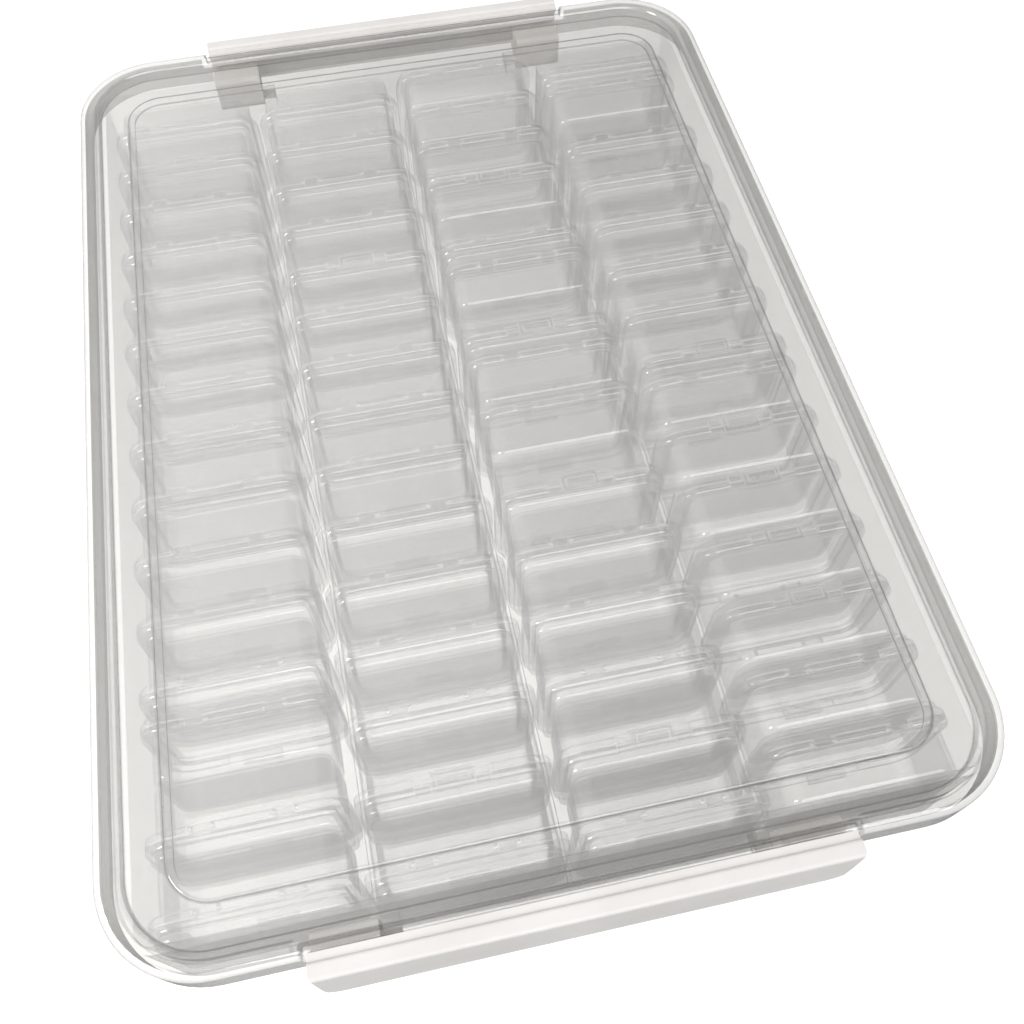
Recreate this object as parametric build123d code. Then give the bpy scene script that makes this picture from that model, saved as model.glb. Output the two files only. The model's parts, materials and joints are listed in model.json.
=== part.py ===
from build123d import *
import os

# Clear storage case for beads: sixty small clear boxes with lids of their own stand on edge in
# four columns, under one large lift-off lid that a white swing latch holds at each end.
# Millimetres. +Y runs along the long side towards the far end, +Z is up, and the origin is the
# middle of the face that the case rests on.

# ---- small bead box, standing on edge -------------------------------------------------------
BOX_WIDTH = 54.9            # across the rims
BOX_HEIGHT = 40.0           # across the rims, upright as the box stands in the case
BOX_THICKNESS = 20.6        # from the tray's floor face to the lid's face
BOX_CORNER_RADIUS = 8.0     # outer corners of the rims
TRAY_FLANGE = 2.5           # thickness of the rim round the tray's mouth
RIM_PROJECTION = 2.9        # how far the rims stand out from the tray's body
RIM_ROUNDING = 1.0          # round outer edges of both rims
LID_BRIM = 2.5              # thickness of the small lid's rim
FACE_RISE = 2.3             # the small lid's face stands this far over its rim
FACE_INSET = 1.3            # and this far in from the rim's edge
BOX_WALL = 1.2
TRAY_EDGE_RADIUS = 2.0      # round edge of the tray's floor
FACE_ROUNDING = 0.9         # round edge of the small lid's face
LID_LIP_DEPTH = 1.5         # inner lip of the small lid, inside the tray's mouth
LID_LIP_WALL = 0.9
SMALL_FIT = 0.12            # clearance between a small lid and its tray

# ---- snap tab on one long rim of the bead box -----------------------------------------------
TAB_WIDTH = 12.0
TAB_RECESS_WIDTH = 21.0
TAB_THICKNESS = 0.9
TAB_HOOK = 0.8              # thickness of the hook behind the tray's rim
TAB_HOOK_REACH = 1.0        # how far the hook reaches in behind the rim
TAB_PAD_RISE = 0.4          # raised finger pad on the tab
TAB_PAD_WIDTH = 9.0
TAB_PAD_LENGTH = 3.0

# ---- hinge on the opposite rim --------------------------------------------------------------
HINGE_SPACING = 22.0        # between the two hinge tongues
TONGUE_WIDTH = 5.2
TONGUE_THICKNESS = 1.5
HINGE_PIN_RADIUS = 0.6
HINGE_PIN_LENGTH = 6.8

# ---- how the boxes stand in the case --------------------------------------------------------
COLUMN_GAP = 0.8            # between neighbouring columns
BOX_GAP = 0.3               # between neighbouring boxes of a column
SEAT_GAP = 0.3              # between the boxes and the case's floor
END_GAP = 0.6               # between the outer boxes and the case's walls
# One letter a box, from the far end to the near end. n and f: the small lid faces the near or
# the far end, and its hinge is on top. N and F: the same, with the snap tab on top.
COLUMNS = ("nNnnnnnnnnnnfnn", "nnnnNnnnnnnnnNn", "fffFnfNffNnnnNn", "nfnnnnnNfFFFFff")
LIFT_ROWS = (2, 5, 8, 11, 14)   # rows whose boxes are single pieces that lift out

# ---- case base ------------------------------------------------------------------------------
FLOOR_THICKNESS = 2.0
BASE_WALL = 1.6
BASE_INNER_RADIUS = 4.0
BASE_EDGE_RADIUS = 1.6      # round edge where the walls meet the floor, outside
DIVIDER_WALL = 1.2          # low ribs between the columns
DIVIDER_HEIGHT = 4.0
FLANGE_THICKNESS = 2.0
BEAD_WIDTH = 2.2            # raised bead on the flange, inside the lid's hollow rim
BEAD_LATCH_CLEARANCE = 2.4  # the bead stops this far beside the lid's latch seat

# ---- case lid -------------------------------------------------------------------------------
LID_WALL = 1.8
HEADROOM = 4.4              # between the boxes and the lid's panel
SIDE_REACH = 6.8            # from the base's wall to the lid's outer edge, long sides
END_REACH = 9.8             # the same at the ends
LID_CORNER_RADIUS = 28.0
RIM_WIDTH = 7.0
RIM_EDGE_RADIUS = 2.5
RIM_INNER_ROUNDING = 1.5
PANEL_DROP = 3.1            # the flat panel lies this far below the rim
CHANNEL_DEPTH = 3.9         # channel between the rim and the panel, below the rim
SIDE_MARGIN = 17.4          # from the lid's outer edge to the panel, long sides
END_MARGIN = 18.4           # the same at the ends
PANEL_CORNER_RADIUS = 12.0
PANEL_ROUNDING = 0.5        # round edge of the panel
SKIRT_DEPTH = 12.2
LID_GAP = 0.3               # between the lid and what it sits on
SKIRT_GAP = 0.4             # between the skirt and the base's flange

# ---- swing latches --------------------------------------------------------------------------
LATCH_LENGTH = 140.0
LATCH_TOP_RISE = 0.3        # above the lid's rim
LATCH_DEPTH = 4.6           # depth of the bar at the top
BAR_HEIGHT = 8.0
PLATE_WALL = 2.4
PLATE_FLARE = 1.1           # the outer face leans out towards its foot
PLATE_DROP = 18.0           # foot of the outer plate, below the lid's rim
LATCH_END_RADIUS = 7.0
LATCH_TOP_RADIUS = 1.0
LATCH_SIDE_RADIUS = 3.0     # round upright edges of the outer plate
LATCH_GAP = 1.0             # between the lid's skirt and the latch
LEG_WIDTH = 17.5
HOOK_ENGAGEMENT = 1.2       # how far the hook reaches over the lid's edge
HOOK_THICKNESS = 1.5
HOOK_GAP = 0.6              # between the hook and its seat
SEAT_DROP = 3.0             # latch seat, below the lid's rim
SEAT_DEPTH = 3.5            # latch seat, in from the lid's outer edge
SEAT_SIDE_GAP = 1.2         # the seat is this much longer than the latch at each end
SEAT_EDGE_RADIUS = 2.5
PIVOT_OUT = 5.7             # pivot axis, out from the base's wall
PIVOT_DROP = 20.0           # pivot axis, below the lid's rim
PIVOT_RADIUS = 1.6
PIVOT_FIT = 0.05            # radial clearance of a pivot in its bore
BOSS_RADIUS = 3.4
LEG_RISE = 10.8             # top of the legs, above the pivot axis
LEG_ROUNDING = 2.0          # round upper edge of the legs, towards the case
LUG_WIDTH = 4.6
LUG_WEB_DROP = 2.4          # the lug's web goes this far below the pivot axis
LUG_SIDE_GAP = 0.3          # between a lug and the leg beside it
NOTCH_GAP = 0.6             # between a leg and the notch in the skirt

# ---- places that follow from the sizes above ------------------------------------------------
COLUMN_PITCH = BOX_WIDTH + COLUMN_GAP
ROW_PITCH = BOX_THICKNESS + BOX_GAP
ROWS = len(COLUMNS[0])
INNER_WIDTH = (len(COLUMNS) - 1) * COLUMN_PITCH + BOX_WIDTH + 2 * END_GAP
INNER_LENGTH = ROWS * ROW_PITCH - BOX_GAP + 2 * END_GAP
BASE_WIDTH = INNER_WIDTH + 2 * BASE_WALL
BASE_LENGTH = INNER_LENGTH + 2 * BASE_WALL
LID_WIDTH = BASE_WIDTH + 2 * SIDE_REACH
LID_LENGTH = BASE_LENGTH + 2 * END_REACH
BOX_SEAT = FLOOR_THICKNESS + SEAT_GAP
BOX_CENTRE_Z = BOX_SEAT + BOX_HEIGHT / 2
PANEL_TOP = BOX_SEAT + BOX_HEIGHT + HEADROOM + LID_WALL
LID_TOP = PANEL_TOP + PANEL_DROP
CHANNEL_UNDERSIDE = LID_TOP - CHANNEL_DEPTH - LID_WALL
FLANGE_TOP = CHANNEL_UNDERSIDE - LID_GAP
FLANGE_UNDERSIDE = FLANGE_TOP - FLANGE_THICKNESS
SKIRT_FOOT = LID_TOP - SKIRT_DEPTH
PIVOT_Y = BASE_LENGTH / 2 + PIVOT_OUT
PIVOT_Z = LID_TOP - PIVOT_DROP
LATCH_INNER_Y = LID_LENGTH / 2 + LATCH_GAP
LATCH_OUTER_Y = LATCH_INNER_Y + LATCH_DEPTH
LATCH_TOP = LID_TOP + LATCH_TOP_RISE
LEG_INNER_X = LATCH_LENGTH / 2 - LEG_WIDTH
SEAT_LENGTH = LATCH_LENGTH + 2 * SEAT_SIDE_GAP

BRIM_Y = BOX_THICKNESS / 2 - FACE_RISE
PARTING_Y = BRIM_Y - LID_BRIM
TRAY_FLOOR_Y = -BOX_THICKNESS / 2
BODY_WIDTH = BOX_WIDTH - 2 * RIM_PROJECTION
BODY_HEIGHT = BOX_HEIGHT - 2 * RIM_PROJECTION
BODY_RADIUS = BOX_CORNER_RADIUS - RIM_PROJECTION
CAVITY_WIDTH = BODY_WIDTH - 2 * BOX_WALL
CAVITY_HEIGHT = BODY_HEIGHT - 2 * BOX_WALL
CAVITY_RADIUS = BODY_RADIUS - BOX_WALL
TAB_RECESS_DEPTH = TAB_PAD_RISE + TAB_THICKNESS + SMALL_FIT


def plate(width, length, radius, low, high):
    """A flat plate with rounded corners, between two heights."""
    outline = Plane.XY.offset(low) * RectangleRounded(width, length, radius)
    return extrude(outline, high - low)


def upright_plate(width, height, radius, near, far):
    """The same standing up: its face looks along Y, between two places along Y."""
    outline = Plane.XZ.offset(-near) * RectangleRounded(width, height, radius)
    return extrude(outline, near - far)


def block(x, y, z):
    """A square-edged block given by its (low, high) pairs along X, Y and Z."""
    size = (x[1] - x[0], y[1] - y[0], z[1] - z[0])
    middle = ((x[0] + x[1]) / 2, (y[0] + y[1]) / 2, (z[0] + z[1]) / 2)
    return Pos(*middle) * Box(*size)


def rod(radius, length, x, y, z):
    """A round rod along X, centred at x, y, z."""
    return Pos(x, y, z) * Rot(0, 90, 0) * Cylinder(radius, length)


# ---- bead box: modelled about its own middle, lid towards +Y, snap tab on top ----------------

def hinge_places():
    """Middles of the two hinge tongues along X."""
    return (-HINGE_SPACING / 2, HINGE_SPACING / 2)


PIN_Z = -BOX_HEIGHT / 2 + TONGUE_THICKNESS / 2
PIN_Y = PARTING_Y - TRAY_FLANGE / 2


def small_tray():
    """Open tray with a rim flange, a recess for the snap tab and notches for the hinge pins."""
    body = upright_plate(BODY_WIDTH, BODY_HEIGHT, BODY_RADIUS, TRAY_FLOOR_Y, PARTING_Y)
    floor_edges = body.faces().sort_by(Axis.Y)[0].edges()
    body = fillet(floor_edges, TRAY_EDGE_RADIUS)
    flange_y = PARTING_Y - TRAY_FLANGE
    flange = upright_plate(BOX_WIDTH, BOX_HEIGHT, BOX_CORNER_RADIUS, flange_y, PARTING_Y)
    body += fillet(flange.faces().sort_by(Axis.Y)[0].edges(), RIM_ROUNDING)
    cavity_floor = TRAY_FLOOR_Y + BOX_WALL
    body -= upright_plate(CAVITY_WIDTH, CAVITY_HEIGHT, CAVITY_RADIUS, cavity_floor, PARTING_Y)
    recess_x = (-TAB_RECESS_WIDTH / 2, TAB_RECESS_WIDTH / 2)
    top = BOX_HEIGHT / 2
    body -= block(recess_x, (flange_y, PARTING_Y), (top - TAB_RECESS_DEPTH, top))
    foot = -BOX_HEIGHT / 2
    for x in hinge_places():
        half = TONGUE_WIDTH / 2 + SMALL_FIT
        body -= block((x - half, x + half), (flange_y, PARTING_Y), (foot, foot + RIM_PROJECTION))
        pin_radius = HINGE_PIN_RADIUS + SMALL_FIT / 2
        pin_half = HINGE_PIN_LENGTH / 2 + SMALL_FIT
        body -= rod(pin_radius, 2 * pin_half, x, PIN_Y, PIN_Z)
        notch_y = (PIN_Y - pin_radius, PIN_Y + pin_radius)
        body -= block((x - pin_half, x + pin_half), notch_y, (foot, PIN_Z))
    return body


def small_lid():
    """Shallow lid with an inner lip, a snap tab on top and two hinge tongues with pins below."""
    brim = upright_plate(BOX_WIDTH, BOX_HEIGHT, BOX_CORNER_RADIUS, PARTING_Y, BRIM_Y)
    brim = fillet(brim.faces().sort_by(Axis.Y)[-1].edges(), RIM_ROUNDING)
    face_width = BOX_WIDTH - 2 * FACE_INSET
    face_height = BOX_HEIGHT - 2 * FACE_INSET
    face_radius = BOX_CORNER_RADIUS - FACE_INSET
    face = upright_plate(face_width, face_height, face_radius, PARTING_Y, BOX_THICKNESS / 2)
    lid = brim + fillet(face.faces().sort_by(Axis.Y)[-1].edges(), FACE_ROUNDING)
    shrink = 2 * SMALL_FIT
    lip_width = CAVITY_WIDTH - shrink
    lip_height = CAVITY_HEIGHT - shrink
    lip_radius = CAVITY_RADIUS - SMALL_FIT
    lip_foot = PARTING_Y - LID_LIP_DEPTH
    lid += upright_plate(lip_width, lip_height, lip_radius, lip_foot, PARTING_Y)
    hollow_width = lip_width - 2 * LID_LIP_WALL
    hollow_height = lip_height - 2 * LID_LIP_WALL
    hollow_radius = lip_radius - LID_LIP_WALL
    hollow_top = BOX_THICKNESS / 2 - BOX_WALL
    lid -= upright_plate(hollow_width, hollow_height, hollow_radius, lip_foot, hollow_top)
    lid -= upright_plate(
        face_width - 2 * BOX_WALL, face_height - 2 * BOX_WALL, face_radius - BOX_WALL,
        PARTING_Y + BOX_WALL, hollow_top,
    )
    top = BOX_HEIGHT / 2
    recess_floor = top - TAB_RECESS_DEPTH
    tab_half = TAB_WIDTH / 2
    recess_half = TAB_RECESS_WIDTH / 2
    for side in (-1, 1):
        slot_x = sorted((side * tab_half, side * recess_half))
        lid -= block(slot_x, (PARTING_Y, BRIM_Y), (recess_floor, top))
    tab_foot = PARTING_Y - TRAY_FLANGE - SMALL_FIT - TAB_HOOK
    tab_x = (-tab_half, tab_half)
    tab_face = top - TAB_PAD_RISE
    tab_back = tab_face - TAB_THICKNESS
    lid -= block(tab_x, (PARTING_Y, BRIM_Y), (tab_face, top))
    lid += block(tab_x, (tab_foot, BRIM_Y), (tab_back, tab_face))
    lid += block(tab_x, (tab_foot, tab_foot + TAB_HOOK), (tab_back - TAB_HOOK_REACH, tab_back))
    pad_x = (-TAB_PAD_WIDTH / 2, TAB_PAD_WIDTH / 2)
    pad_y = (BRIM_Y - TAB_PAD_LENGTH - RIM_ROUNDING, BRIM_Y - RIM_ROUNDING)
    lid += block(pad_x, pad_y, (tab_back, top))
    foot = -top
    for x in hinge_places():
        tongue_x = (x - TONGUE_WIDTH / 2, x + TONGUE_WIDTH / 2)
        tongue_y = (PARTING_Y - TRAY_FLANGE, PARTING_Y + LID_BRIM / 2)
        lid += block(tongue_x, tongue_y, (foot, foot + TONGUE_THICKNESS))
        lid += rod(HINGE_PIN_RADIUS, HINGE_PIN_LENGTH, x, PIN_Y, PIN_Z)
    return lid


def box_place(column, row):
    """Where a box stands and how it is turned, from its letter in COLUMNS."""
    letter = COLUMNS[column - 1][row - 1]
    x = (column - (len(COLUMNS) + 1) / 2) * COLUMN_PITCH
    y = ((ROWS + 1) / 2 - row) * ROW_PITCH
    place = Pos(x, y, BOX_CENTRE_Z)
    if letter.upper() == "N":
        place = place * Rot(0, 0, 180)
    if letter.islower():
        place = place * Rot(0, 180, 0)
    return place


# ---- case base ------------------------------------------------------------------------------

def ring(width, length, radius, wall, low, high):
    """A rounded frame of one wall, between two heights."""
    outer = plate(width, length, radius, low, high)
    inner = plate(width - 2 * wall, length - 2 * wall, radius - wall, low, high)
    return outer - inner


def lug(side, x):
    """Ear on an end wall with the bore of one latch pivot. side is 1 at the far end."""
    wall_y = side * (BASE_LENGTH / 2 - BASE_WALL / 2)
    y = sorted((wall_y, side * PIVOT_Y))
    web_x = (x - LUG_WIDTH / 2, x + LUG_WIDTH / 2)
    ear = block(web_x, y, (PIVOT_Z - LUG_WEB_DROP, PIVOT_Z + BOSS_RADIUS))
    ear += rod(BOSS_RADIUS, LUG_WIDTH, x, side * PIVOT_Y, PIVOT_Z)
    return ear - rod(PIVOT_RADIUS + PIVOT_FIT, LUG_WIDTH, x, side * PIVOT_Y, PIVOT_Z)


def lug_places():
    """Middles of a latch's two lugs along X, just inside its legs."""
    x = LEG_INNER_X - LUG_SIDE_GAP - LUG_WIDTH / 2
    return (-x, x)


def case_base():
    """Deep tray with a flange and bead under the lid's rim, divider ribs and latch lugs."""
    outer_radius = BASE_INNER_RADIUS + BASE_WALL
    base = plate(BASE_WIDTH, BASE_LENGTH, outer_radius, 0, FLANGE_TOP)
    base = fillet(base.faces().sort_by(Axis.Z)[0].edges(), BASE_EDGE_RADIUS)
    flange_width = LID_WIDTH - 2 * (LID_WALL + SKIRT_GAP)
    flange_length = LID_LENGTH - 2 * (LID_WALL + SKIRT_GAP)
    flange_radius = LID_CORNER_RADIUS - LID_WALL - SKIRT_GAP
    base += plate(flange_width, flange_length, flange_radius, FLANGE_UNDERSIDE, FLANGE_TOP)
    bead_top = LID_TOP - LID_WALL - LID_GAP
    bead = ring(flange_width, flange_length, flange_radius, BEAD_WIDTH, FLANGE_TOP, bead_top)
    latch_half = SEAT_LENGTH / 2 + BEAD_LATCH_CLEARANCE
    for side in (-1, 1):
        end_y = sorted((0, side * LID_LENGTH))
        bead -= block((-latch_half, latch_half), end_y, (FLANGE_TOP, bead_top))
    base += bead
    base -= plate(INNER_WIDTH, INNER_LENGTH, BASE_INNER_RADIUS, FLOOR_THICKNESS, FLANGE_TOP)
    rib_top = FLOOR_THICKNESS + DIVIDER_HEIGHT
    rib_y = (-INNER_LENGTH / 2 - BASE_WALL / 2, INNER_LENGTH / 2 + BASE_WALL / 2)
    for gap in range(1, len(COLUMNS)):
        x = (gap - len(COLUMNS) / 2) * COLUMN_PITCH
        rib_x = (x - DIVIDER_WALL / 2, x + DIVIDER_WALL / 2)
        base += block(rib_x, rib_y, (FLOOR_THICKNESS / 2, rib_top))
    for side in (-1, 1):
        for x in lug_places():
            base += lug(side, x)
    return base


# ---- case lid -------------------------------------------------------------------------------

def latch_seat(side):
    """What the latch's hook needs cut from the lid's edge: a ledge with a round outer edge."""
    edge = LID_LENGTH / 2
    seat_z = LID_TOP - SEAT_DROP
    arc_y = edge - SEAT_EDGE_RADIUS
    arc_z = seat_z - SEAT_EDGE_RADIUS
    outside = edge + SEAT_DEPTH
    middle = (arc_y + SEAT_EDGE_RADIUS * 0.5 ** 0.5, arc_z + SEAT_EDGE_RADIUS * 0.5 ** 0.5)
    above = LID_TOP + SEAT_DROP
    outline = Polyline(
        (edge, arc_z), (outside, arc_z), (outside, above),
        (edge - SEAT_DEPTH, above), (edge - SEAT_DEPTH, seat_z), (arc_y, seat_z),
    )
    outline += ThreePointArc((arc_y, seat_z), middle, (edge, arc_z))
    profile = Plane.YZ.offset(-SEAT_LENGTH / 2) * make_face(outline)
    cut = extrude(profile, SEAT_LENGTH)
    return cut if side > 0 else cut.rotate(Axis.Z, 180)


def latch_seat_block(side):
    """Material under the latch's ledge, from inside the rim out to the skirt."""
    half = SEAT_LENGTH / 2 + LID_WALL
    inner_y = LID_LENGTH / 2 - RIM_WIDTH + LID_WALL / 2
    y = sorted((side * inner_y, side * (LID_LENGTH / 2 - LID_WALL / 2)))
    return block((-half, half), y, (CHANNEL_UNDERSIDE, LID_TOP - LID_WALL / 2))


def skirt_notch(side, x_side):
    """Notch in the skirt that a latch leg passes through."""
    x = sorted((x_side * (LEG_INNER_X - NOTCH_GAP), x_side * (LATCH_LENGTH / 2 + NOTCH_GAP)))
    y = sorted((side * (LID_LENGTH / 2 - 2 * LID_WALL), side * (LID_LENGTH / 2 + LID_WALL)))
    return block(x, y, (SKIRT_FOOT, FLANGE_UNDERSIDE))


def case_lid():
    """Thin clear lid: round rim and skirt, sunk channel, raised flat panel, two latch seats."""
    lid = plate(LID_WIDTH, LID_LENGTH, LID_CORNER_RADIUS, SKIRT_FOOT, LID_TOP)
    lid = fillet(lid.faces().sort_by(Axis.Z)[-1].edges(), RIM_EDGE_RADIUS)
    panel_width = LID_WIDTH - 2 * SIDE_MARGIN
    panel_length = LID_LENGTH - 2 * END_MARGIN
    channel_floor = LID_TOP - CHANNEL_DEPTH
    channel = plate(
        LID_WIDTH - 2 * RIM_WIDTH, LID_LENGTH - 2 * RIM_WIDTH,
        LID_CORNER_RADIUS - RIM_WIDTH, channel_floor, LID_TOP,
    )
    panel = plate(panel_width, panel_length, PANEL_CORNER_RADIUS, channel_floor, PANEL_TOP)
    panel = fillet(panel.faces().sort_by(Axis.Z)[-1].edges(), PANEL_ROUNDING)
    lid -= channel - panel
    rim_top = lid.faces().filter_by(Axis.Z).sort_by(Axis.Z)[-1]
    lid = fillet(rim_top.inner_wires()[0].edges(), RIM_INNER_ROUNDING)
    skirt_inside = 2 * LID_WALL
    lid -= plate(
        LID_WIDTH - skirt_inside, LID_LENGTH - skirt_inside,
        LID_CORNER_RADIUS - LID_WALL, SKIRT_FOOT, CHANNEL_UNDERSIDE,
    )
    rim_hollow = ring(
        LID_WIDTH - skirt_inside, LID_LENGTH - skirt_inside, LID_CORNER_RADIUS - LID_WALL,
        RIM_WIDTH - 2 * LID_WALL, CHANNEL_UNDERSIDE, LID_TOP - LID_WALL,
    )
    lid -= rim_hollow
    lid -= plate(
        panel_width - skirt_inside, panel_length - skirt_inside,
        PANEL_CORNER_RADIUS - LID_WALL, CHANNEL_UNDERSIDE, PANEL_TOP - LID_WALL,
    )
    for side in (-1, 1):
        lid += latch_seat_block(side)
        lid -= latch_seat(side)
        for x_side in (-1, 1):
            lid -= skirt_notch(side, x_side)
    return lid


# ---- latches --------------------------------------------------------------------------------

def latch():
    """Swing latch of the far end: bar with a hook over the lid's edge, outer plate, two legs."""
    hook_y = LID_LENGTH / 2 - HOOK_ENGAGEMENT
    hook_z = LID_TOP - SEAT_DROP + HOOK_GAP
    hook_top = hook_z + HOOK_THICKNESS
    plate_y = LATCH_OUTER_Y - PLATE_WALL
    foot_z = LID_TOP - PLATE_DROP
    bar_foot = LATCH_TOP - BAR_HEIGHT
    outline = Polyline(
        (hook_y, hook_z), (hook_y, hook_top), (LATCH_INNER_Y, hook_top),
        (LATCH_INNER_Y, LATCH_TOP), (LATCH_OUTER_Y, LATCH_TOP),
        (LATCH_OUTER_Y + PLATE_FLARE, foot_z), (plate_y + PLATE_FLARE, foot_z),
        (plate_y, bar_foot), (LATCH_INNER_Y, bar_foot), (LATCH_INNER_Y, hook_z),
        (hook_y, hook_z),
    )
    profile = Plane.YZ.offset(-LATCH_LENGTH / 2) * make_face(outline)
    bar = extrude(profile, LATCH_LENGTH)
    top_edges = bar.faces().sort_by(Axis.Z)[-1].edges().filter_by(Axis.X)
    bar = fillet(top_edges, LATCH_TOP_RADIUS)
    depth = LATCH_OUTER_Y + LATCH_DEPTH
    height = LATCH_TOP - foot_z
    ends = upright_plate(LATCH_LENGTH, height, LATCH_END_RADIUS, LATCH_INNER_Y / 2, depth)
    ends = Pos(0, 0, (LATCH_TOP + foot_z) / 2) * ends
    bar_ends = block(
        (-LATCH_LENGTH / 2, LATCH_LENGTH / 2), (LATCH_INNER_Y / 2, depth),
        (LATCH_TOP - LATCH_END_RADIUS, LATCH_TOP),
    )
    reach = 2 * (LATCH_OUTER_Y + PLATE_FLARE)
    bar = bar & (ends + bar_ends) & plate(LATCH_LENGTH, reach, LATCH_SIDE_RADIUS, foot_z, LATCH_TOP)
    for side in (-1, 1):
        leg_x = sorted((side * LEG_INNER_X, side * LATCH_LENGTH / 2))
        leg_top = PIVOT_Z + LEG_RISE
        leg = block(leg_x, (PIVOT_Y - BOSS_RADIUS, plate_y + PLATE_WALL / 2), (PIVOT_Z, leg_top))
        case_side = leg.edges().filter_by(Axis.X).sort_by(Axis.Y)[:2]
        leg = fillet(case_side.sort_by(Axis.Z)[-1], LEG_ROUNDING)
        leg_middle = side * (LEG_INNER_X + LEG_WIDTH / 2)
        leg += rod(BOSS_RADIUS, LEG_WIDTH, leg_middle, PIVOT_Y, PIVOT_Z)
        bar += leg
        stub_length = LUG_SIDE_GAP + LUG_WIDTH + LEG_WIDTH / 2
        stub_x = side * (LEG_INNER_X - LUG_SIDE_GAP - LUG_WIDTH + stub_length / 2)
        bar += rod(PIVOT_RADIUS, stub_length, stub_x, PIVOT_Y, PIVOT_Z)
    return bar


# ---- write every piece ----------------------------------------------------------------------

def write(name, shape):
    """Write one piece, or one group of like pieces, as parts/NAME.step."""
    export_step(shape, f"parts/{name}.step")


def write_boxes():
    """Boxes of the lifting rows as single pieces; the others joined by column as groups."""
    tray = small_tray()
    lid = small_lid()
    for column in range(1, len(COLUMNS) + 1):
        trays = []
        lids = []
        for row in range(1, ROWS + 1):
            place = box_place(column, row)
            if row in LIFT_ROWS:
                write(f"box_c{column}_r{row:02d}_tray", place * tray)
                write(f"box_c{column}_r{row:02d}_lid", place * lid)
            else:
                trays.append(place * tray)
                lids.append(place * lid)
        write(f"column_{column}_trays", Compound(children=trays))
        write(f"column_{column}_lids", Compound(children=lids))


os.makedirs("parts", exist_ok=True)
write("case_base", case_base())
write("case_lid", case_lid())
far = latch()
write("far_latch", far)
write("near_latch", far.rotate(Axis.Z, 180))
write_boxes()
print(f"case lid {LID_WIDTH:.1f} x {LID_LENGTH:.1f}, rim at {LID_TOP:.1f}, latch at {LATCH_TOP:.1f}")
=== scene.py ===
# %% [markdown]
# # A clear case of sixty bead boxes
#
# The real object is a flat storage case of clear moulded plastic. Sixty small boxes stand on edge
# in it, four columns of fifteen, and each has a lid of its own. One large lid covers them all, and
# a white latch holds it at each end. Every one of these pieces comes from the CAD model, so this
# script loads that model as a fixed frame and only gives it finishes, light and a camera.

# %% Load the frame
import json
import math

import bpy
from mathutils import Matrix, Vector


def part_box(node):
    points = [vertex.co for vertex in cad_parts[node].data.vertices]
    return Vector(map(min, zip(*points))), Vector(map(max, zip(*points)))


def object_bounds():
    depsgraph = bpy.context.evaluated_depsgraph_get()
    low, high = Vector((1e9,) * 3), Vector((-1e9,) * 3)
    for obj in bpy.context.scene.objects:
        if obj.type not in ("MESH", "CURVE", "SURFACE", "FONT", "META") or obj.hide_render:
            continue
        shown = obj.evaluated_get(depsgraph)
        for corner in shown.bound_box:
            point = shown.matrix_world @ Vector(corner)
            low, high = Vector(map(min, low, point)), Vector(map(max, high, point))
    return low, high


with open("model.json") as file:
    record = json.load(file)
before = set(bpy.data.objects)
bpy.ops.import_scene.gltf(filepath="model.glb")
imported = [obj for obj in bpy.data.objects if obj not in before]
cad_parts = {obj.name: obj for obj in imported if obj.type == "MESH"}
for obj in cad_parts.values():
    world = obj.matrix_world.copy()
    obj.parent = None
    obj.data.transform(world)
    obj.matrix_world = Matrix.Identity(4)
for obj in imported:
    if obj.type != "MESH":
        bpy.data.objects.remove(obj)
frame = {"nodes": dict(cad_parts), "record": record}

cad_low, cad_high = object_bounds()
rim_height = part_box("case_lid")[1].z
case_size = [round(v * 1000, 1) for v in cad_high - cad_low]
print("case", case_size, "mm, rim at", round(rim_height * 1000, 1))

# %% [markdown]
# ## Camera
#
# The photograph is taken from above the near end, about sixty degrees over the table, and from
# close by, so the near end looks much wider than the far one. A camera could be placed by eye,
# but then every later comparison would be off by a few pixels. These numbers were solved from the
# outline of the lid instead: where the lens stood over the middle of the rim, and how it was
# turned.

# %% Place the camera
LENS_MM = 37.16
SENSOR_MM = 36.0
CLIP_START = 0.01                                 # metres
CAMERA_OVER_RIM = (-0.02806, -0.20977, 0.27143)   # metres from the middle of the rim's top
CAMERA_TURN = (29.543, 0.062, -11.983)            # degrees about X, Y and Z

camera_data = bpy.data.cameras.new("camera")
camera_data.lens = LENS_MM
camera_data.sensor_width = SENSOR_MM
camera_data.clip_start = CLIP_START
camera = bpy.data.objects.new("camera", camera_data)
camera.location = (CAMERA_OVER_RIM[0], CAMERA_OVER_RIM[1], CAMERA_OVER_RIM[2] + rim_height)
camera.rotation_euler = [math.radians(turn) for turn in CAMERA_TURN]
bpy.context.scene.collection.objects.link(camera)
bpy.context.scene.camera = camera
print("camera at", [round(v, 4) for v in camera.location])

# %% [markdown]
# ## A short way to write materials
#
# Each finish below is a node tree. Written out node by node, such a tree is long and hard to read,
# so two small classes do the wiring. Wire stands for one socket, and sums on it add Math nodes, so
# a mask is written as an expression. Finish makes a material and any other node in it.

# %% Wires
class Wire:
    """A socket that carries a number, with sums on it as Math nodes."""

    def __init__(self, finish, socket):
        self.finish = finish
        self.socket = socket

    def sum(self, operation, first, second):
        return self.finish.node("ShaderNodeMath", {"operation": operation}, {0: first, 1: second})

    def __add__(self, other):
        return self.sum("ADD", self, other)

    __radd__ = __add__

    def __rsub__(self, other):
        return self.sum("SUBTRACT", other, self)

    def __mul__(self, other):
        return self.sum("MULTIPLY", self, other)

    __rmul__ = __mul__

    def __pow__(self, power):
        return self.sum("POWER", self, power)


print("a wire adds Math nodes")

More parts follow.
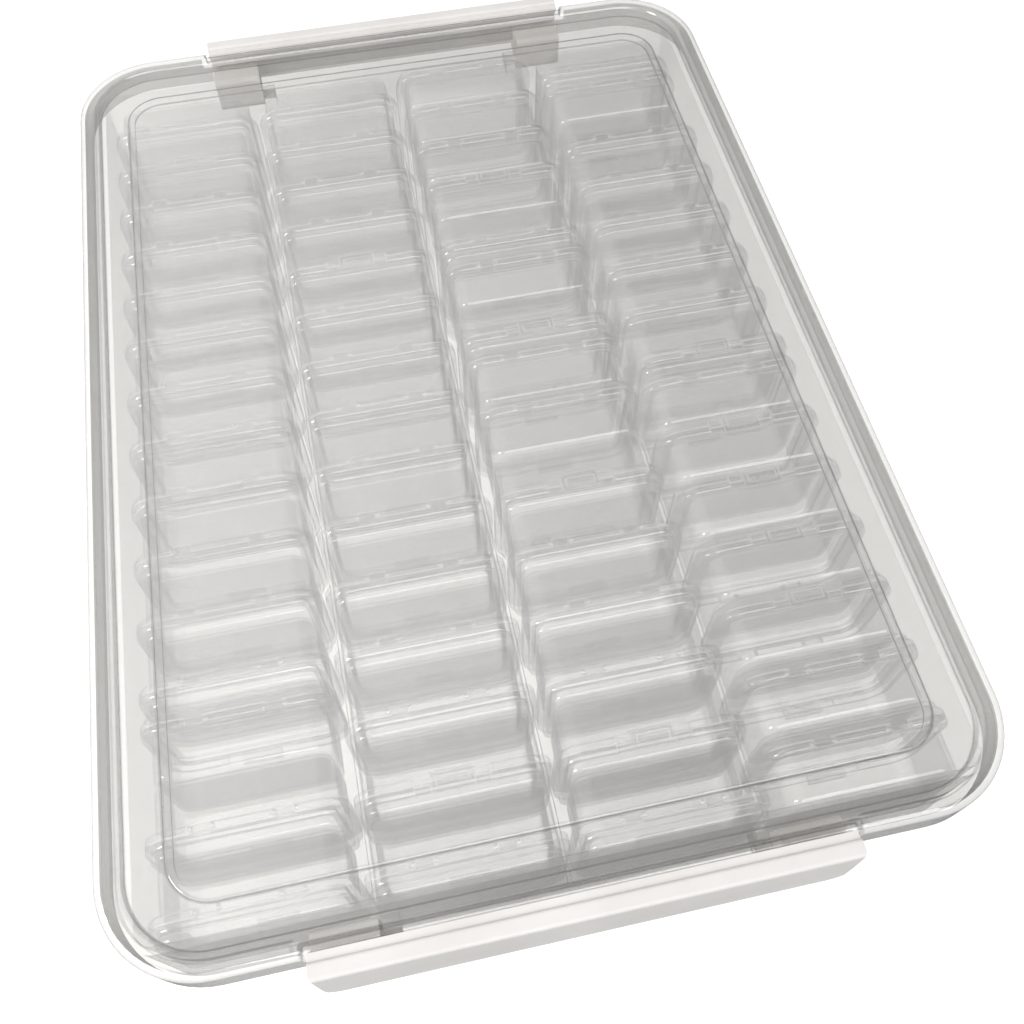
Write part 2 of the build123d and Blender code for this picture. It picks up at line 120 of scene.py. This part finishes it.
# %% [markdown]
# ## Masks that a mould leaves
#
# Clear plastic is seen mostly at its edges, where the light has the longest way through it and
# where a real moulding bends the light and turns it back. The finishes below paint those edges as
# lines of painted shade on the large lid and base, and of painted highlight on the small boxes. A
# mask for them could be painted, but it would have to be painted again whenever the model changes.
# The Bevel node finds them instead: it gives the normal that a rounded edge would have, and where
# this leaves the true normal, there is an edge. Upright faces, which are seen through at a slant
# and get a painted shade, are found by the height of their normal.

# %% Finishes
EDGE_SAMPLES = 4       # rays that the Bevel node sends for one point
EDGE_GAIN = 6.0        # how quickly the edge mask fills as the normals part


class Finish:
    """A material, or a world, built node by node."""

    def __init__(self, owner):
        self.owner = owner
        owner.use_nodes = True
        self.tree = owner.node_tree
        self.tree.nodes.clear()

    def node(self, kind, settings=None, values=None, out=0):
        """Adds a node, sets its settings first and its sockets after, and returns one output."""
        made = self.tree.nodes.new(kind)
        for key, setting in (settings or {}).items():
            if key == "stops":
                self.set_stops(made.color_ramp, setting)
            else:
                setattr(made, key, setting)
        for key, value in (values or {}).items():
            if isinstance(value, Wire):
                self.tree.links.new(value.socket, made.inputs[key])
            else:
                made.inputs[key].default_value = value
        return Wire(self, made.outputs[out])

    def set_stops(self, ramp, stops):
        """Gives a colour ramp its stops, as (place, colour) pairs."""
        for place, colour in stops[2:]:
            ramp.elements.new(place)
        for element, (place, colour) in zip(ramp.elements, stops):
            element.position = place
            element.color = (*colour, 1)

    def place(self):
        """The object's own coordinates, which are metres in the frame of the CAD model."""
        return self.node("ShaderNodeTexCoord", out="Object")

    def noise(self, scale, detail=2.0):
        """Soft random patches from 0 to 1, about 1/scale metres wide."""
        values = {"Vector": self.place(), "Scale": scale, "Detail": detail}
        return self.node("ShaderNodeTexNoise", None, values)

    def blend(self, mask, first, second):
        """A colour between two, by a mask."""
        settings = {"data_type": "RGBA"}
        return self.node("ShaderNodeMix", settings, {"Factor": mask, 6: first, 7: second}, out=2)

    def bump(self, height, distance):
        """A surface normal tilted by a height that is worth that many metres."""
        return self.node("ShaderNodeBump", None, {"Height": height, "Distance": distance})

    def edges(self, width):
        """A mask that is 1 on a sharp or slightly rounded edge, and 0 from that many metres on."""
        rounded = self.node("ShaderNodeBevel", {"samples": EDGE_SAMPLES}, {"Radius": width})
        flat = self.node("ShaderNodeNewGeometry", out="Normal")
        settings = {"operation": "DOT_PRODUCT"}
        alike = self.node("ShaderNodeVectorMath", settings, {0: rounded, 1: flat}, out="Value")
        return self.node("ShaderNodeClamp", None, {"Value": EDGE_GAIN * (1 - alike)})

    def upright(self):
        """A mask that is 1 on faces that stand upright in the CAD model and 0 on level ones."""
        normal = self.node("ShaderNodeTexCoord", out="Normal")
        level = self.node("ShaderNodeSeparateXYZ", None, {0: normal}, out="Z")
        return 1 - level * level

    def seen(self):
        """1 for what the camera sees straight, and 0 for light that comes by way of something."""
        return self.node("ShaderNodeLightPath", out="Is Camera Ray")

    def shader_mix(self, mask, first, second):
        """A shader between two, by a mask."""
        return self.node("ShaderNodeMixShader", None, {0: mask, 1: first, 2: second})

    def close(self, shader, output="ShaderNodeOutputMaterial"):
        """Joins the last shader to the output, and returns the finished material or world."""
        self.tree.links.new(shader.socket, self.tree.nodes.new(output).inputs["Surface"])
        return self.owner


def grey(value, warmth=0.0):
    """A grey, a little warmer by warmth."""
    return (value, value * (1 - warmth / 4), value * (1 - warmth), 1)


print("a finish adds every other node")

# %% [markdown]
# ## Clear moulded plastic
#
# What shows a clear wall is not its colour. It mirrors a little where it faces the eye and more
# where it is seen edge on, and it takes a little of the light that goes through. Glass with
# refraction would be truer, but a ray would bend through some thirty walls here, and the picture
# would be slow and full of grain. These walls are thin and flat, and hardly shift what is behind
# them, so each surface lets the light straight through. A slow swell in the surface bends the
# mirrored light as it does on real thin mouldings.
#
# A grey veil is laid over that. On level faces it is thin and patchy, as haze and fine scratches
# are. On upright faces it is thicker and darker: a painted shade for the dark surround that a
# slanted wall bends into view. On the moulded edges it is thick and painted: a painted highlight on
# the small boxes, and a painted shade on the large lid and base, in place of the light that a real
# rim bends and turns back. Where a wall is seen edge on, the veil darkens, partly for the longer
# way through the plastic and partly as a painted shade for the dark lines that refraction draws
# there. The veil and the mirror are only on the face where the eye's ray goes into the plastic, and
# not where it comes out again, so that no wall counts twice.

# %% Clear plastic
SWELL = 0.0001         # metres; height of the slow swell that bends what a wall mirrors
SWELL_SCALE = 45.0     # swells in a metre
HAZE_SCALE = 22.0      # hazy patches in a metre
HAZE_SPREAD = (0.6, 0.8)   # the veil of a level face in a clean patch, and what haze adds
SHINE = (0.03, 0.05)   # roughness of the mirror in a clean patch, and what haze adds
VEIL_ROUGHNESS = 0.6
WHITE = (1, 1, 1, 1)


def clear_plastic(name, tint, colours, veils, edge_width, mirrors):
    """Thin clear plastic. colours and veils are for level faces, upright faces, moulded edges and
    outlines: what colour each has, and how much of it shows. On level faces this is a thin hazy
    veil. On upright faces and outlines it is a painted shade, and on moulded edges it is a painted
    shade where the colour is dark and a painted highlight where it is pale. mirrors says how much a
    face mirrors head on, and how much more edge on."""
    level_colour, upright_painted_shade, edge_painted_light, outline_painted_shade = colours
    level_veil, upright_painted_shade_veil, edge_painted_light_veil, outline_painted_shade_veil = veils
    finish = Finish(bpy.data.materials.new(name))
    edge_on = finish.node("ShaderNodeLayerWeight", None, {"Blend": 0.5}, out="Facing")
    entering = 1 - finish.node("ShaderNodeNewGeometry", out="Backfacing")
    patches = finish.noise(HAZE_SCALE, 1.0)
    tilted = finish.bump(finish.noise(SWELL_SCALE, 0.0), SWELL)
    upright = finish.upright()
    edges = finish.edges(edge_width) * (1 - upright)
    # Upright faces and outlines seen edge on get a painted shade; moulded edges get the given edge
    # colour, a painted shade where it is dark and a painted highlight where it is pale.
    colour = finish.blend(upright, level_colour, upright_painted_shade)
    colour = finish.blend(edge_on ** 2, colour, outline_painted_shade)
    colour = finish.blend(edges, colour, edge_painted_light)
    # This veil carries that painted shade and highlight as well as the plastic's haze.
    own = finish.node("ShaderNodeBsdfPrincipled", None, {
        "Base Color": colour, "Specular IOR Level": 0.0, "Roughness": VEIL_ROUGHNESS,
    })
    through = finish.node("ShaderNodeBsdfTransparent", None, {"Color": tint})
    # How thick the veil lies: haze on level faces, plus the painted shade on upright faces and
    # outlines, and the painted edge lines whose colour is given above.
    haze_and_painted_light = level_veil * (HAZE_SPREAD[0] + HAZE_SPREAD[1] * patches) + upright_painted_shade_veil * upright
    haze_and_painted_light = haze_and_painted_light + edge_painted_light_veil * edges + outline_painted_shade_veil * edge_on ** 3
    wall = finish.shader_mix(haze_and_painted_light * entering, through, own)
    mirror = finish.node("ShaderNodeBsdfGlossy", None, {
        "Color": WHITE, "Roughness": SHINE[0] + SHINE[1] * patches, "Normal": tilted,
    })
    mirrored = mirrors[0] + mirrors[1] * edge_on ** 4
    return finish.close(finish.shader_mix(mirrored * entering, wall, mirror))


# Case veil colours: haze on level faces, then painted shade on upright faces, moulded edges and
# outlines.
CASE_HAZE_AND_PAINTED_SHADE = (grey(0.50, 0.05), grey(0.30, 0.05), grey(0.04), grey(0.10))
# Box veil colours: haze on level faces, painted shade on upright faces and outlines, and a painted
# highlight on moulded edges.
BOX_HAZE_AND_PAINTED_LIGHT = (grey(0.82), grey(0.68), grey(0.94), grey(0.22))
# The veil amounts run in the same order: level haze, then the painted light on upright faces,
# moulded edges and outlines.
BOX_LOOK = (grey(0.985), BOX_HAZE_AND_PAINTED_LIGHT, (0.03, 0.06, 0.55, 0.15), 0.0008, (0.08, 0.80))
CLEAR = {
    "clear_lid": clear_plastic(
        "clear_lid", grey(0.90, 0.008), CASE_HAZE_AND_PAINTED_SHADE,
        (0.03, 0.22, 0.95, 0.70), 0.0013, (0.11, 0.20)),
    "clear_base": clear_plastic(
        "clear_base", grey(0.95, 0.008), CASE_HAZE_AND_PAINTED_SHADE,
        (0.03, 0.08, 0.30, 0.30), 0.0006, (0.06, 0.30)),
    "clear_tray": clear_plastic("clear_tray", *BOX_LOOK),
    "clear_small_lid": clear_plastic("clear_small_lid", *BOX_LOOK),
}
print("clear finishes", sorted(CLEAR))

# %% [markdown]
# ## White latch plastic
#
# The two latches are moulded in a warm white plastic that isn't clear. It has a soft shine, a fine
# moulded grain, and the slightly darker, yellower patches that handling leaves.

# %% Latch plastic
HANDLED = (0.67, 0.652, 0.635)     # where fingers press it
CLEAN = (0.74, 0.727, 0.713)
HANDLED_SCALE = 40.0       # handled patches in a metre
GRAIN_SCALE = 1800.0       # grains in a metre
GRAIN_HEIGHT = 0.00003     # metres


def latch_plastic():
    """Warm white plastic with handled patches and a fine grain."""
    finish = Finish(bpy.data.materials.new("latch"))
    patches = finish.noise(HANDLED_SCALE, 3.0)
    grain = finish.noise(GRAIN_SCALE, 2.0)
    stops = [(0.35, HANDLED), (0.75, CLEAN)]
    colour = finish.node("ShaderNodeValToRGB", {"stops": stops}, {"Fac": patches})
    shader = finish.node("ShaderNodeBsdfPrincipled", None, {
        "Base Color": colour,
        "Roughness": 0.34 + 0.14 * patches,
        "Normal": finish.bump(grain, GRAIN_HEIGHT),
    })
    return finish.close(shader)


latch_finish = latch_plastic()
print("latch finish", latch_finish.name)

# %% [markdown]
# ## Each piece gets its finish
#
# The record that came with the frame already says which material slot each CAD piece belongs to,
# so the finishes are handed out by that list. A picture through some thirty clear walls is slow,
# and most of that time goes into faint light that bounces from wall to wall. The clear pieces are
# therefore seen by the camera alone: lamps shine through them, and mirrors don't repeat them.

# %% Hand out the finishes
finishes = dict(CLEAR, latch=latch_finish)
for part in frame["record"]["subparts"]:
    piece = frame["nodes"][part["node"]]
    piece.data.materials.clear()
    piece.data.materials.append(finishes[part["material_slot"]])
    for sight in ("visible_shadow", "visible_diffuse", "visible_glossy"):
        setattr(piece, sight, part["material_slot"] not in CLEAR)

# %% [markdown]
# ## Floor
#
# The photograph's background is plain white. The floor is a large pale sheet of matt paper. White
# paper would send so much light back up that the clear plastic would hardly show, so the paper is
# grey for that light, and near white only for the camera. It gets a little light of its own there
# as well, more of it far from the case, where the lamps hardly reach.

# %% Lay the floor
FLOOR_SIZE = 4.0
FLOOR_DROP = 0.0002            # metres below the case, so that the two faces don't flicker
FLOOR_BOUNCE = 0.45            # how much light the floor sends back up
PAPER = (grey(0.94), grey(0.97))    # as the camera sees it
FLOOR_LIFT = 0.14              # the light of its own, near the case
FAR_LIFT = 0.9                 # and far from it
NEAR, FAR = 0.4, 1.4           # metres from the case at which it starts to grow and is full

floor_mesh = bpy.data.meshes.new("floor")
half = FLOOR_SIZE / 2
floor_mesh.from_pydata(
    [(-half, -half, 0), (half, -half, 0), (half, half, 0), (-half, half, 0)], [], [(0, 1, 2, 3)])
floor = bpy.data.objects.new("floor", floor_mesh)
floor.location.z = -FLOOR_DROP
bpy.context.scene.collection.objects.link(floor)

paper = Finish(bpy.data.materials.new("floor_paper"))
seen = paper.seen()
mottled = paper.blend(paper.noise(3.0), *PAPER)
distance = paper.node(
    "ShaderNodeVectorMath", {"operation": "LENGTH"}, {0: paper.place()}, out="Value")
lift = paper.node("ShaderNodeMapRange", None, {
    "Value": distance, "From Min": NEAR, "From Max": FAR, "To Min": FLOOR_LIFT, "To Max": FAR_LIFT})
matt = paper.node("ShaderNodeBsdfPrincipled", None, {
    "Base Color": paper.blend(seen, grey(FLOOR_BOUNCE), mottled),
    "Roughness": 0.9, "Specular IOR Level": 0.0,
    "Emission Color": paper.blend(seen, grey(0.0), lift), "Emission Strength": 1.0,
})
floor_mesh.materials.append(paper.close(matt))
print("floor", FLOOR_SIZE, "m wide")

# %% [markdown]
# ## Surround
#
# Clear plastic shows what is around it, and in an all-white room it would hardly show at all. The
# surround is therefore bright on the left and falls to dark grey on the right, as in a room with
# one large window. The camera itself sees plain white there.

# %% Surround
BRIGHT_SIDE = 0.85     # the surround as the left part of the case mirrors it
DARK_SIDE = 0.08       # the same on the right
FALL = (-0.35, 0.45)   # between which sideways directions it falls
DAYLIGHT = (1.0, 0.995, 0.99, 1)

studio = Finish(bpy.data.worlds.new("studio"))
direction = studio.node("ShaderNodeTexCoord", out="Generated")
sideways = studio.node("ShaderNodeSeparateXYZ", None, {0: direction}, out="X")
falling = studio.node("ShaderNodeMapRange", {"interpolation_type": "SMOOTHSTEP"}, {
    "Value": sideways, "From Min": FALL[0], "From Max": FALL[1],
    "To Min": BRIGHT_SIDE, "To Max": DARK_SIDE})
seen = studio.seen()
surround = studio.node("ShaderNodeBackground", None, {"Color": DAYLIGHT, "Strength": falling})
white = studio.node("ShaderNodeBackground", None, {"Color": WHITE, "Strength": 1.0})
bpy.context.scene.world = studio.close(
    studio.shader_mix(seen, surround, white), "ShaderNodeOutputWorld")
print("surround from", BRIGHT_SIDE, "to", DARK_SIDE)

# %% [markdown]
# ## Lamps
#
# A big soft panel stands high before the near end and lights everything from above. A smaller one
# to the left puts the bright spots on the rims of the small boxes. A third panel behind the far
# end lights the side that the photograph doesn't show. It is kept out of the mirrors, because the
# large flat lid would show it as a white patch.

# %% Lamps
MIDDLE = (0, 0, 0)


def soft_panel(name, size, place, watts, colour=(1, 1, 1)):
    """A square area lamp that faces the middle of the case."""
    data = bpy.data.lights.new(name, "AREA")
    data.shape = "SQUARE"
    data.size = size
    data.energy = watts
    data.color = colour
    lamp = bpy.data.objects.new(name, data)
    lamp.location = place
    lamp.rotation_mode = "QUATERNION"
    lamp.rotation_quaternion = (Vector(MIDDLE) - Vector(place)).to_track_quat("-Z", "Y")
    bpy.context.scene.collection.objects.link(lamp)
    return lamp


soft_panel("overhead", 1.2, (0.25, -0.95, 1.25), 14.0)
soft_panel("left", 0.35, (-0.9, -0.25, 0.7), 7.0, (1.0, 0.99, 0.97))
behind = soft_panel("behind", 1.2, (0.1, 1.3, 0.9), 4.0)
behind.visible_glossy = False
print("three lamps")

# %% [markdown]
# ## Picture settings
#
# The Standard view keeps colours as they are written. A ray may pass many clear walls on its way
# down to the floor, so it is allowed more steps than usual, or the far walls would turn black.

# %% Settings
scene = bpy.context.scene
scene.view_settings.view_transform = "Standard"
scene.cycles.transparent_max_bounces = 64
scene.cycles.max_bounces = 5
scene.cycles.glossy_bounces = 3
print("a ray may pass", scene.cycles.transparent_max_bounces, "clear faces")
